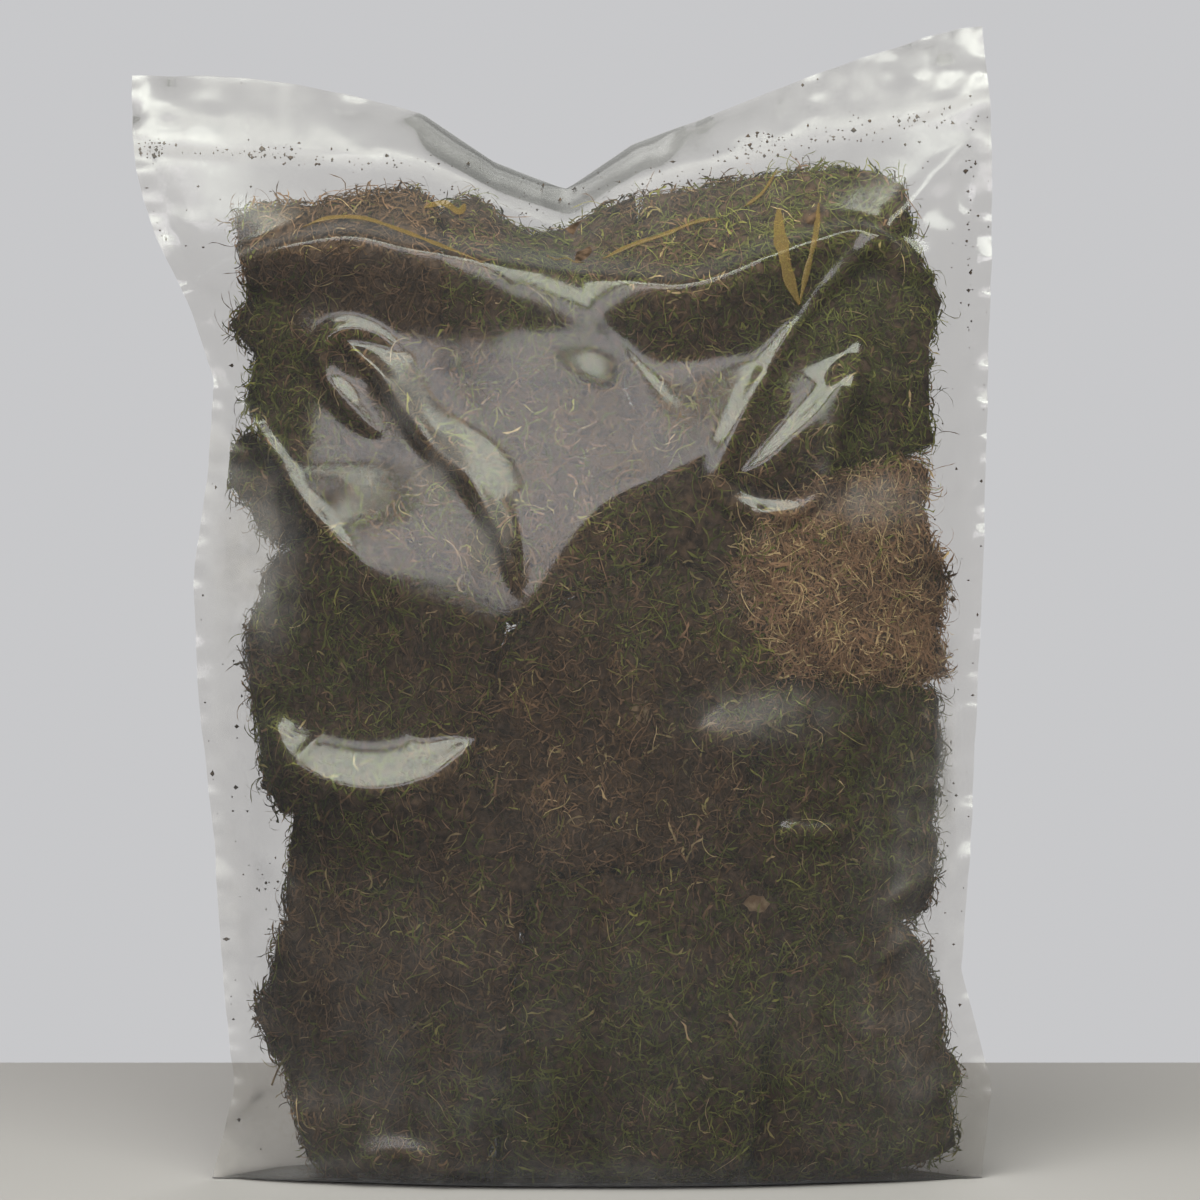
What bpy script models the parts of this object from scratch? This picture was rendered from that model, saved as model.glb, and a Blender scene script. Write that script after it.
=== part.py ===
"""A clear film bag that stands on its flat base, packed with torn pads of moss.

The bag is two webs of film, front and back, welded together along both sides and sealed near the top,
with a free flap above the seal. Each moss pad is a closed lump that fills its share of the bag.
Frame: metres, +Z up, the front faces -Y, and the origin is under the middle of the bag, on the surface
that it stands on.
Lengths below are in millimetres until a point is placed, where MM turns them into metres.
"""

import math

import bmesh
import bpy
import numpy as np
from mathutils import noise
from mathutils import Vector

MM = 0.001

# The bag laid flat is 281 wide and about 380 long. Its film is thicker than real film, so that it is a solid.
FLAT_WIDTH = 281.0
LEFT_CORNER = -142.0
WELD = 6.0
WALL = 0.5
SEAM_GAP = 0.15
BASE_CORNER_RADIUS = 12.0
CROSS_POWER, CROSS_FULLNESS = 2.6, 0.85

# Side edges of the bag, as (height, x). The left one has the small ear where the bottom corner sticks out.
LEFT_EDGE = (
    (0, -113), (5, -120), (9, -119), (16, -109), (39, -109), (78, -111), (115, -113.5), (153, -118),
    (185, -120), (215, -119), (240, -114), (262, -113.5), (285, -121), (305, -131), (337, -140), (363, -141.5),
)
RIGHT_EDGE = (
    (0, 138), (12, 141), (23, 142), (46, 137.5), (62, 134), (76, 129), (93, 133), (124, 135),
    (156, 136.5), (215, 139), (255, 140), (320, 141.5), (353, 141), (379, 139),
)
# The free top edge, and the top seal below it, as (share of the width from the left, height).
TOP_EDGE = (
    (0, 362.5), (0.125, 362.5), (0.264, 356.6), (0.342, 351), (0.392, 341), (0.443, 333), (0.488, 327.5),
    (0.52, 331), (0.557, 338.5), (0.60, 344.5), (0.669, 350), (0.783, 362), (0.906, 373), (0.97, 378),
    (1, 378.5),
)
TOP_SEAL = (
    (0, 337), (0.17, 335.5), (0.297, 333), (0.342, 331), (0.442, 323), (0.494, 317.3), (0.557, 325),
    (0.632, 330), (0.716, 334.5), (0.80, 340), (0.90, 345), (1, 355),
)
# How far the seal and the free edge lean back at that share of the width.
SEAL_LEAN = ((0, 0), (0.2, 3), (0.35, 10), (0.49, 18), (0.62, 11), (0.8, 3), (1, 0))
EDGE_LEAN = ((0, 5), (0.15, 9), (0.3, 16), (0.42, 29), (0.49, 35.1), (0.57, 28), (0.7, 14), (0.85, 6), (1, 2))
# Half thickness of the filled bag at its middle, as (share of the height up to the seal, millimetres).
HALF_DEPTH = (
    (0, 27), (0.09, 31), (0.3, 34), (0.54, 34), (0.63, 32.3), (0.72, 29.6), (0.81, 26.6), (0.885, 22.6),
    (0.93, 17.5), (0.965, 10), (0.99, 3), (1, 0), (1.3, 0),
)

FILM_COLUMNS = 18
WALL_ROWS = (0, 0.08, 0.18, 0.30, 0.42, 0.54, 0.64, 0.72, 0.79, 0.85, 0.885, 0.915, 0.945, 0.972, 1)
CORNER_STEPS = 3

# What the moss keeps clear of: the film, the surface under the bag, and the pad beside it.
FILM_CLEARANCE = 3.6
FLOOR_CLEARANCE = 2.5
PAD_GAP = 0.8
# The outline of the moss in the bag, as (height, x) on each side and (x, height) along its top.
MOSS_LEFT = (
    (0, -98), (30, -101), (50, -100), (72, -96), (87, -88), (109, -92), (125, -95), (153, -100), (172, -104),
    (182, -103), (192, -96), (204, -91), (215, -92), (223, -103), (231, -110), (245, -108), (262, -105),
    (285, -113), (305, -117), (330, -112),
)
MOSS_RIGHT = (
    (0, 131), (40, 133), (62, 130), (78, 114), (90, 127), (110, 129), (150, 127), (170, 122), (192, 127),
    (212, 117), (240, 119), (285, 126), (305, 122), (330, 112),
)
MOSS_TOP = (
    (-120, 300), (-90, 307), (-70, 310), (-55, 314), (-40, 317), (-28, 312), (-16, 305), (-4, 304), (6, 309),
    (16, 316), (45, 319), (88, 320), (108, 315), (122, 302), (130, 290),
)

# Each pad: name, where its middle is, and its radius, which sets how much room it takes from its neighbours.
PADS = (
    ("moss_pad_top_left", (-74, -6, 270), 40),
    ("moss_pad_top_middle", (-11, -3, 277), 27),
    ("moss_pad_top_right", (70, -6, 272), 45),
    ("moss_pad_centre_upper", (-12, -8, 224), 38),
    ("moss_clump_tan", (96, -8, 196), 28),
    ("moss_pad_left_pocket", (-100, 2, 234), 14),
    ("moss_pad_left", (-60, -8, 170), 39),
    ("moss_pad_centre", (22, -8, 150), 45),
    ("moss_pad_right", (94, -8, 124), 36),
    ("moss_pad_bottom_left", (-58, -7, 66), 47),
    ("moss_pad_bottom_middle", (26, -7, 56), 45),
    ("moss_pad_bottom_right", (98, -6, 44), 33),
    ("moss_pad_back_upper_left", (-48, 19, 228), 30),
    ("moss_pad_back_upper_right", (52, 19, 222), 32),
    ("moss_pad_back_lower_left", (-38, 19, 110), 32),
    ("moss_pad_back_lower_right", (62, 19, 96), 30),
)
PAD_SUBDIVISIONS = 3
CORNER_SHARPNESS = 22.0
LUMP_DEPTH, LUMP_SIZE = 0.06, 24.0

# Litter between the moss and the front film: name, start and end as (x, height), and thickness.
STEMS = (
    ("straw_stem", (-47.0, 52.5), (-37.5, 58.5), 0.8),
    ("grass_blade", (11.0, 113.5), (24.0, 116.5), 0.5),
    ("twig", (-94.0, 31.0), (-86.0, 45.0), 0.7),
)
FLAKES = (
    ("leaf_flake", (26.5, 154.0), 7.5, 11.0),
    ("bark_chip", (63.0, 92.5), 9.0, 7.5),
)
LITTER_DEPTH = 2.0
FLAKE_THICKNESS = 0.7

MATERIALS = {
    "film": ((0.86, 0.87, 0.86), 0.12, 0.25),
    "moss_green": ((0.065, 0.062, 0.022), 0.9, 1.0),
    "moss_brown": ((0.075, 0.050, 0.030), 0.95, 1.0),
    "moss_tan": ((0.20, 0.135, 0.085), 0.95, 1.0),
    "litter": ((0.24, 0.16, 0.09), 0.8, 1.0),
}
BROWN_PADS = {"moss_pad_top_left", "moss_pad_centre", "moss_pad_bottom_left", "moss_pad_left_pocket",
              "moss_pad_back_upper_left", "moss_pad_back_lower_right"}


def curve(points, at):
    """A smooth curve through (position, value) points, read at one or many positions."""
    x, y = (np.array(column, float) for column in zip(*points))
    slope = np.gradient(y, x)
    at = np.clip(np.asarray(at, float), x[0], x[-1])
    i = np.clip(np.searchsorted(x, at) - 1, 0, len(x) - 2)
    span = x[i + 1] - x[i]
    s = (at - x[i]) / span
    return (
        y[i] * (1 + 2 * s) * (1 - s) ** 2
        + slope[i] * span * s * (1 - s) ** 2
        + y[i + 1] * s * s * (3 - 2 * s)
        + slope[i + 1] * span * s * s * (s - 1)
    )


def side_x(across, height):
    """x at that share of the bag's width, at that height."""
    left, right = curve(LEFT_EDGE, height), curve(RIGHT_EDGE, height)
    return left + across * (right - left)


def share_across(x, height):
    left, right = curve(LEFT_EDGE, height), curve(RIGHT_EDGE, height)
    return (x - left) / (right - left)


def fullness(across, height):
    """How full the cross-section is there: 0 in the side welds, 1 at the middle."""
    width = curve(RIGHT_EDGE, height) - curve(LEFT_EDGE, height)
    inside = np.clip((across * width - WELD) / (width - 2 * WELD), 0, 1)
    return np.clip(1 - np.abs(2 * inside - 1) ** CROSS_POWER, 0, 1) ** CROSS_FULLNESS


def body_depth(across, height):
    """Half thickness of the space inside the bag."""
    to_seal = height / curve(TOP_SEAL, across)
    return np.maximum(curve(HALF_DEPTH, to_seal), 0) * fullness(across, height)


def lean(across, height):
    """How far the middle of the bag leans back, which only its top does."""
    seal, edge = curve(TOP_SEAL, across), curve(TOP_EDGE, across)
    shoulder = 0.84 * seal
    below = np.clip((height - shoulder) / (seal - shoulder), 0, 1)
    above = np.clip((height - seal) / (edge - seal), 0, 1)
    rise = curve(EDGE_LEAN, across) - curve(SEAL_LEAN, across)
    return curve(SEAL_LEAN, across) * below**1.6 + rise * above


def film_columns():
    """Shares of the width where the film has a column of points: at both edges of each weld, and between."""
    weld = WELD / FLAT_WIDTH
    steps = np.arange(FILM_COLUMNS + 1)
    cavity = 0.5 - 0.5 * np.cos(math.pi * steps / FILM_COLUMNS)
    return np.concatenate([[0], weld + (1 - 2 * weld) * cavity, [1]])


def film_profile(across, side, inset):
    """One column of a web, from the seam under the base up to the free edge, at a depth into the film."""
    foot = float(body_depth(across, 0.0))
    outer_foot = foot + SEAM_GAP + WALL
    radius = WALL + min(BASE_CORNER_RADIUS - WALL, 0.6 * foot)
    points = [(float(side_x(across, 0)), side * SEAM_GAP, inset)]
    for k in range(CORNER_STEPS + 1):
        angle = math.pi / 2 * k / CORNER_STEPS
        out = outer_foot - radius + (radius - inset) * math.sin(angle)
        height = radius - (radius - inset) * math.cos(angle)
        points.append((float(side_x(across, height)), side * out, height))
    top = float(curve(TOP_EDGE, across))
    foot_excess = foot - float(body_depth(across, radius))
    for share in WALL_ROWS[1:]:
        height = radius + (top - radius) * share
        out = float(body_depth(across, height)) + SEAM_GAP + WALL - inset
        out += foot_excess * max(0.0, 1 - share / WALL_ROWS[2])
        points.append((float(side_x(across, height)), float(lean(across, height)) + side * out, height))
    return points


def new_object(name, bm, material, smooth_angle=35.0):
    mesh = bpy.data.meshes.new(name)
    bmesh.ops.recalc_face_normals(bm, faces=bm.faces)
    bm.to_mesh(mesh)
    bm.free()
    mesh.shade_smooth()
    mesh.set_sharp_from_angle(angle=math.radians(smooth_angle))
    mesh.materials.append(bpy.data.materials[material])
    made = bpy.data.objects.new(name, mesh)
    bpy.context.scene.collection.objects.link(made)
    return made


def film_web(name, side):
    """The front (side -1) or back (side +1) web of film, as one thin closed solid."""
    columns = film_columns()
    bm = bmesh.new()
    skins = []
    for inset in (0.0, WALL):
        grid = [[bm.verts.new(Vector(p) * MM) for p in film_profile(a, side, inset)] for a in columns]
        skins.append(grid)
    outer, inner = skins
    rows = len(outer[0])
    for grid in skins:
        for left, right in zip(grid, grid[1:]):
            for r in range(rows - 1):
                bm.faces.new((left[r], right[r], right[r + 1], left[r + 1]))
    for c in range(len(columns) - 1):
        for r in (0, rows - 1):
            bm.faces.new((outer[c][r], outer[c + 1][r], inner[c + 1][r], inner[c][r]))
    for r in range(rows - 1):
        for c in (0, len(columns) - 1):
            bm.faces.new((outer[c][r], outer[c][r + 1], inner[c][r + 1], inner[c][r]))
    bmesh.ops.remove_doubles(bm, verts=bm.verts, dist=0.01 * MM)
    bmesh.ops.dissolve_degenerate(bm, edges=bm.edges, dist=0.001 * MM)
    return new_object(name, bm, "film")


def inside_moss(points):
    """True where a point, in millimetres, may hold moss."""
    x, y, z = points[..., 0], points[..., 1], points[..., 2]
    across = np.clip(share_across(x, z), 0, 1)
    room = body_depth(across, z) - FILM_CLEARANCE
    return (
        (np.abs(y - lean(across, z)) < room)
        & (z > FLOOR_CLEARANCE + corner_rise(across, y))
        & (x > curve(MOSS_LEFT, z))
        & (x < curve(MOSS_RIGHT, z))
        & (z < curve(MOSS_TOP, x))
    )


def corner_rise(across, y):
    """How high the rounded corner of the base pushes the moss up at that distance from the middle."""
    flat = body_depth(across, 0.0) - BASE_CORNER_RADIUS
    past = np.clip(np.abs(y) - flat, 0, BASE_CORNER_RADIUS)
    return BASE_CORNER_RADIUS - np.sqrt(BASE_CORNER_RADIUS**2 - past**2)


def reach(middle, ways):
    """How far each way runs from the middle before it leaves the space for moss."""
    steps = np.linspace(0.5, 150, 600)
    points = middle + ways[:, None, :] * steps[None, :, None]
    outside = ~inside_moss(points)
    first = np.where(outside.any(axis=1), outside.argmax(axis=1), len(steps) - 1)
    return steps[np.maximum(first - 1, 0)]


def pad_radii(index, ways):
    """Distance from the pad's middle to its surface along each way, rounded where two limits meet."""
    _, middle, size = PADS[index]
    middle = np.array(middle, float)
    limits = [reach(middle, ways)]
    for other, (_, place, other_size) in enumerate(PADS):
        if other == index:
            continue
        gap = np.array(place, float) - middle
        apart = float(np.linalg.norm(gap))
        towards = ways @ (gap / apart)
        border = (apart**2 + size**2 - other_size**2) / (2 * apart) - PAD_GAP / 2
        limits.append(np.where(towards > 1e-3, border / np.maximum(towards, 1e-3), 1e4))
    stacked = np.array(limits)
    return (stacked**-CORNER_SHARPNESS).sum(axis=0) ** (-1 / CORNER_SHARPNESS)


def moss_pad(index):
    """One torn pad of moss: a lump that fills its share of the bag, with an uneven surface."""
    name, middle, _ = PADS[index]
    bm = bmesh.new()
    bmesh.ops.create_icosphere(bm, subdivisions=PAD_SUBDIVISIONS, radius=1.0)
    ways = np.array([v.co.normalized()[:] for v in bm.verts])
    radii = pad_radii(index, ways)
    for vert, way, radius in zip(bm.verts, ways, radii):
        place = np.array(middle) + way * radius
        lump = noise.noise(Vector(place / LUMP_SIZE)) - 0.5
        vert.co = Vector(np.array(middle) + way * radius * (1 + LUMP_DEPTH * min(lump, 0.0))) * MM
    return new_object(name, bm, pad_material(name), 60.0)


def pad_material(name):
    if name == "moss_clump_tan":
        return "moss_tan"
    return "moss_brown" if name in BROWN_PADS else "moss_green"


def litter_place(x, height):
    """A point on the layer between the moss and the inside of the front film."""
    across = float(share_across(x, height))
    return Vector((x, float(lean(across, height)) - float(body_depth(across, height)) + LITTER_DEPTH, height))


def stem(name, start, end, thickness):
    """A thin stem, bent a little at its middle and tapered towards its ends."""
    bm = bmesh.new()
    steps, sides = 6, 6
    rings = []
    for k in range(steps + 1):
        s = k / steps
        bow = 0.6 * math.sin(math.pi * s)
        x = start[0] + (end[0] - start[0]) * s - bow
        height = start[1] + (end[1] - start[1]) * s + bow
        middle = litter_place(x, height)
        along = Vector((end[0] - start[0], 0, end[1] - start[1])).normalized()
        side = along.cross(Vector((0, 1, 0)))
        radius = thickness / 2 * (1 - 0.35 * s)
        ring = []
        for j in range(sides):
            angle = 2 * math.pi * j / sides
            around = side * math.cos(angle) + Vector((0, math.sin(angle), 0))
            ring.append(bm.verts.new((middle + radius * around) * MM))
        rings.append(ring)
    for low, high in zip(rings, rings[1:]):
        for j in range(sides):
            bm.faces.new((low[j], low[(j + 1) % sides], high[(j + 1) % sides], high[j]))
    bm.faces.new(rings[0])
    bm.faces.new(rings[-1])
    return new_object(name, bm, "litter")


def flake(name, middle, width, length):
    """A thin torn flake with a wavy outline, lying flat against the film."""
    bm = bmesh.new()
    corners = 14
    skins = []
    for depth in (0.0, FLAKE_THICKNESS):
        ring = []
        for j in range(corners):
            angle = 2 * math.pi * j / corners
            ragged = 0.8 + 0.2 * math.sin(3 * angle + 1.0) * math.cos(5 * angle)
            x = middle[0] + width / 2 * ragged * math.cos(angle)
            height = middle[1] + length / 2 * ragged * math.sin(angle)
            across_flake = Vector((0, depth - FLAKE_THICKNESS / 2, 0))
            ring.append(bm.verts.new((litter_place(x, height) + across_flake) * MM))
        skins.append(ring)
    bm.faces.new(skins[0])
    bm.faces.new(skins[1])
    for j in range(corners):
        k = (j + 1) % corners
        bm.faces.new((skins[0][j], skins[0][k], skins[1][k], skins[1][j]))
    return new_object(name, bm, "litter")


def make_materials():
    for name, (colour, roughness, alpha) in MATERIALS.items():
        material = bpy.data.materials.new(name)
        material.use_nodes = True
        shader = material.node_tree.nodes["Principled BSDF"]
        shader.inputs["Base Color"].default_value = (*colour, 1)
        shader.inputs["Roughness"].default_value = roughness
        shader.inputs["Alpha"].default_value = alpha
        shader.inputs["Metallic"].default_value = 0.0


def build():
    for old in list(bpy.data.objects):
        bpy.data.objects.remove(old)
    make_materials()
    film_web("bag_front_film", -1)
    film_web("bag_back_film", 1)
    for index in range(len(PADS)):
        moss_pad(index)
    for name, start, end, thickness in STEMS:
        stem(name, start, end, thickness)
    for name, middle, width, length in FLAKES:
        flake(name, middle, width, length)


build()
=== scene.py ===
import math

import bpy
import numpy as np
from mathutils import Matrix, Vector
from mathutils.bvhtree import BVHTree


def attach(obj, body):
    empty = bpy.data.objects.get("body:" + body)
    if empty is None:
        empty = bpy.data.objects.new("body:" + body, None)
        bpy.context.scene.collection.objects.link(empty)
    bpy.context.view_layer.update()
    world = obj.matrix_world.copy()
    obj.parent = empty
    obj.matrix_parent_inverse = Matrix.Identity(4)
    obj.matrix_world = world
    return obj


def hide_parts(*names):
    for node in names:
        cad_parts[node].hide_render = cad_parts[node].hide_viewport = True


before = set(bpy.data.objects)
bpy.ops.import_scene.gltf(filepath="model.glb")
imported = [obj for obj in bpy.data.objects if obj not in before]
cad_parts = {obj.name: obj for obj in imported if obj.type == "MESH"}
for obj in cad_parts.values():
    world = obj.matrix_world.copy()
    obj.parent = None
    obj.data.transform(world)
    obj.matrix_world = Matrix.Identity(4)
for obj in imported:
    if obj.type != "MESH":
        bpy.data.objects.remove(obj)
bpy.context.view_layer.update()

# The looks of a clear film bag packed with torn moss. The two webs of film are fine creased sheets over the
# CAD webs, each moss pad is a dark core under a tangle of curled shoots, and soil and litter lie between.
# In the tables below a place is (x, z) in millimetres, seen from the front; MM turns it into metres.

MM = 0.001
BODY = "root"

# ---- camera and stage: the floor's far edge meets the backdrop
VIEW_DISTANCE, VIEW_WIDTH = 1.05, 0.393
VIEW_X, VIEW_HEIGHT = 0.0131, 0.1893
SENSOR = 36.0
FLOOR_FAR, FLOOR_NEAR, FLOOR_HALF_WIDTH = 0.262, -1.7, 2.0
FLOOR_COLOUR = (0.378, 0.360, 0.348)
BACKDROP_COLOUR = (0.575, 0.577, 0.590)
AMBIENT_COLOUR, AMBIENT_STRENGTH = (0.98, 0.98, 1.0), 0.06
# Each light: name, where it is, where it points, its two sides (all in metres), its power and colour, and
# whether the film's gloss mirrors it. The two that it mirrors draw the folds: haze and bright flanks.
LIGHTS = (
    ("soft_top", (-0.45, -0.80, 1.50), (0, 0, 0.15), (1.3, 0.9), 18, (1, 1, 1), False),
    ("soft_fill", (0.55, -1.50, 0.55), (0, 0, 0.2), (1.2, 0.8), 6, (1, 1, 1), False),
    ("window_panel", (-0.45, -1.60, 0.77), (-0.45, 0, 0.77), (2.10, 0.45), 9.2, (1.0, 0.98, 1.0), True),
    ("ceiling_strip", (0.02, -1.10, 1.13), (0.02, -0.03, 0.2), (2.54, 0.48), 22.5, (0.95, 1.0, 0.88), True),
    ("soft_back", (0.5, 1.60, 0.90), (0, 0, 0.2), (1.4, 1.0), 18, (1, 1, 1), False),
    ("soft_floor", (0, -1.5, 1.5), (0, -1.1, 0), (2.4, 1.2), 6, (1, 1, 1), False),
)

# ---- film
FILM_COLUMNS, FILM_ROWS, CORNER_ROWS, BASE_ROWS = 241, 312, 9, 6
# The back web keeps only every second row and column, for it is seen less.
BACK_STEP = 2
# How finely the outline of the CAD web is read, and how near to its edge.
OUTLINE_SAMPLES, NEAR_EDGE = 300, 0.5 * MM
# The bag's height before the first look at its outline, and how many looks settle the grid.
FIRST_TOP, TOP_ROUNDS = 0.35, 8
# Where the rows of the base corner start, in radians, and those of the base itself, as a share of its depth.
CORNER_START, BASE_START = 0.12, 0.02
WELD = 6.0 * MM
BASE_RADIUS = 12.0 * MM
FACET_SMOOTHING = 44
FILM_LIFT, LEAST_FILM_GAP = 0.3 * MM, 0.4 * MM
MOSS_TO_FILM = 0.6 * MM
FILM_TINT = (0.955, 0.945, 0.93)
FILM_SHEEN = (0.92, 0.92, 0.93)
FILM_GLOSS, FILM_ROUGHNESS = 1.7, 0.12
# The dust colour also paints the highlight patches in the table of pale patches.
DUST_AND_HIGHLIGHT_COLOUR = (0.30, 0.275, 0.245)

# A crease is a ridge in the film: its points, its height outwards (negative goes in), and how wide its left
# and right flanks are, going along the points. Each flank falls off evenly, and creases narrow at both ends.
CREASES = (
    # the loop and the wide band beside it, upper left
    (((-69, 272), (-58, 262), (-50, 251), (-41, 239), (-28, 228), (-21, 214), (-13, 192)), 3.9, 12, 3),
    (((-57, 242), (-63, 247), (-70, 255), (-76, 263), (-76, 271), (-70, 276), (-60, 275), (-51, 270)),
     1.6, 4, 4),
    (((-69, 272), (-56, 260), (-45, 245), (-33, 229), (-19, 213), (-13, 197)), 1.1, 3.5, 3),
    # the lower edge of the slanting facet in the middle, and its thin lip on the left
    (((-97, 243), (-88, 229), (-75, 212), (-52, 193), (-36, 187), (-20, 183), (-9, 189), (8, 214), (18, 223),
      (34, 230), (48, 238), (58, 250), (66, 264)), 3.4, 42, 30),
    (((-112, 264), (-104, 252), (-97, 243), (-88, 229), (-80, 219), (-64, 203)), 1.4, 3, 4),
    # the pinched fold, upper right: its outline, the line inside it, the facet it holds and its tail
    (((84, 286), (72, 272), (59, 249), (51, 231), (52, 224), (58, 219), (67, 217), (77, 218), (85, 223)),
     1.8, 4.5, 4),
    (((96, 272), (92, 262), (83, 250), (74, 241), (66, 233), (58, 229)), 1.6, 12, 4),
    (((80, 218), (86, 230), (89, 243), (93, 255), (97, 268)), 3.4, 15, 7),
    (((63, 219), (66, 210), (69, 200), (74, 191), (79, 183), (90, 165)), 2.0, 6, 7),
    (((131, 338), (122, 328), (104, 308), (95, 299), (78, 282)), 1.6, 5, 4),
    # the hanging crescent, left
    (((-94, 152), (-86, 138), (-73, 131), (-57, 129), (-41, 133), (-28, 144)), 5.8, 13, 28),
    # the loose pockets of film at the left edge
    (((-108, 243), (-98, 236), (-92, 226), (-90, 214), (-91, 203), (-97, 192), (-104, 183)), -2.4, 5, 9),
    (((-100, 108), (-92, 102), (-86, 90), (-90, 78), (-97, 70)), 2.0, 5, 6),
    # right edge
    (((122, 160), (121, 145), (123, 130), (125, 118), (128, 105)), 2.6, 4, 6),
    (((106, 92), (116, 97), (126, 100), (134, 96)), 2.2, 5, 6),
    (((104, 72), (114, 80), (124, 79), (134, 70)), 2.0, 6, 5),
    # under the seal: a small tuck at the left, and below it the shoulder, which runs right across
    (((-80, 335), (-66, 337), (-50, 338), (-34, 331), (-18, 324)), 1.7, 3, 5),
    (((-124, 290), (-104, 299), (-84, 304), (-66, 306), (-48, 302), (-30, 299), (-12, 296), (6, 294),
      (22, 292), (38, 290), (52, 293), (66, 299), (82, 305), (100, 308), (122, 292)), 8.6, 7, 21),
    (((10, 322), (30, 331), (56, 336), (84, 341)), 1.5, 5, 8),
    # low folds
    (((44, 149), (54, 147), (66, 150), (82, 158)), 1.5, 9, 10),
    (((70, 117), (80, 115), (94, 116)), 1.5, 4, 8),
    (((-70, 5), (-58, 12), (-46, 12), (-34, 4)), 2.0, 5, 5),
)
FLANK_SHARPNESS = 6.0
CREASE_ROUNDNESS = 0.7 * MM
CREASE_END, CREASE_END_POWER, CREASE_THINNEST = 0.22, 0.6, 0.02
# How far the free flap leans to the front for its height. It is negative, because the flap leans back.
FLAP_LEAN = -0.14

# Pale patches on the film: dust and fog, except the thin streak on the right flank and the spots along the
# band crease, which are painted highlights. Each: middle, how wide and tall, and how much.
DUST_AND_PAINTED_HIGHLIGHTS = (
    ((-101, 203), (11, 21), 0.24), ((-110, 150), (6, 60), 0.06), ((-106, 90), (9, 30), 0.08),
    ((-112, 238), (8, 10), 0.12), ((114, 112), (14, 22), 0.08), ((70, 152), (26, 8), 0.06),
    # On the next line, the thin tall patch at (126, 132) is a painted highlight streak.
    ((100, 222), (16, 7), 0.14), ((-110, 8), (12, 8), 0.20), ((126, 132), (3, 26), 0.28),
    ((120, 72), (8, 12), 0.08), ((0, 3), (120, 5), 0.10), ((-40, 40), (90, 50), 0.02),
    # The last three patches are painted highlight spots along the band crease.
    ((110, 40), (30, 40), 0.04), ((-50, 252), (5, 8), 0.12), ((-37, 232), (5, 8), 0.12),
    ((-22, 209), (5, 9), 0.12),
)
# Dust on the whole film, and more of it under the seal, on the free flap and along the seal itself.
DUST_ALL, DUST_SHOULDER, DUST_FLAP, DUST_SEAL = 0.004, 0.02, 0.012, 0.08
MOST_DUST_AND_HIGHLIGHT = 0.8
# The line of the top seal, seen from the front.
SEAL_LINE = ((-139, 337), (-93, 335.5), (-58, 333), (-45, 331), (-17, 323), (-2, 317), (16, 325), (37, 330),
             (61, 334.5), (84, 340), (112, 345), (139, 355))


def curve_through(points, count):
    """Points on a smooth curve through a list of points."""
    points = np.asarray(points, float)
    padded = np.vstack([2 * points[0] - points[1], points, 2 * points[-1] - points[-2]])
    at = np.linspace(0, len(points) - 1, count)
    i = np.minimum(at.astype(int), len(points) - 2)
    t = (at - i)[:, None]
    a, b, c, d = (padded[i + k] for k in range(4))
    return 0.5 * (2 * b + (c - a) * t + (2 * a - 5 * b + 4 * c - d) * t**2 + (3 * b - a - 3 * c + d) * t**3)


# The numbers of the integer hash that noise is made from.
HASH_AXES, HASH_SEED = (374761393, 668265263, 1440662683), 974634777
HASH_ROUNDS, HASH_MASK = ((13, 1274126177), (16, 2246822519)), 0xFFFFFFFF


def random_lattice(cells, seed):
    """A repeatable number from 0 to 1 for each whole-number cell."""
    mixed = cells.astype(np.int64) @ np.array(HASH_AXES, np.int64) + seed * HASH_SEED
    for shift, factor in HASH_ROUNDS:
        mixed = (mixed ^ (mixed >> shift)) * factor & HASH_MASK
    return (mixed ^ (mixed >> 15)) / 2.0**32


def noise(points, size, seed):
    """Smooth noise from -1 to 1 at points (n, 3). Its lumps are `size` across: one number, or one per axis.

    Each seed gives a pattern of its own, so each use of noise below has its own seed.
    """
    scaled = np.asarray(points, float) / size
    cell = np.floor(scaled)
    s = scaled - cell
    s = s * s * (3 - 2 * s)
    total = np.zeros(len(scaled))
    for corner in np.ndindex(2, 2, 2):
        weight = np.prod(np.where(corner, s, 1 - s), axis=1)
        total += weight * random_lattice(cell + corner, seed)
    return 2 * total - 1


def make_mesh(name, points, faces, material, uv=None, smooth=True):
    """An object from arrays: points (n, 3), faces (m, 3 or 4), and each point's place in the OFBake map."""
    mesh = bpy.data.meshes.new(name)
    faces = np.asarray(faces, np.int32)
    corners = faces.shape[1]
    mesh.vertices.add(len(points))
    mesh.vertices.foreach_set("co", np.asarray(points, np.float32).ravel())
    mesh.loops.add(faces.size)
    mesh.loops.foreach_set("vertex_index", faces.ravel())
    mesh.polygons.add(len(faces))
    mesh.polygons.foreach_set("loop_start", np.arange(len(faces), dtype=np.int32) * corners)
    mesh.update(calc_edges=True)
    mesh.validate()
    if smooth:
        mesh.shade_smooth()
    if uv is not None:
        layer = mesh.uv_layers.new(name="OFBake")
        layer.data.foreach_set("uv", np.asarray(uv, np.float32)[faces.ravel()].ravel())
    mesh.materials.append(material)
    made = bpy.data.objects.new(name, mesh)
    bpy.context.scene.collection.objects.link(made)
    return made


def cad_arrays(node):
    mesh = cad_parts[node].data
    points = np.zeros(len(mesh.vertices) * 3, np.float32)
    mesh.vertices.foreach_get("co", points)
    edges = np.zeros(len(mesh.edges) * 2, np.int32)
    mesh.edges.foreach_get("vertices", edges)
    return points.reshape(-1, 3).astype(float), edges.reshape(-1, 2)


# ---------------------------------------------------------------------------------- the bag's shape


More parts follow.
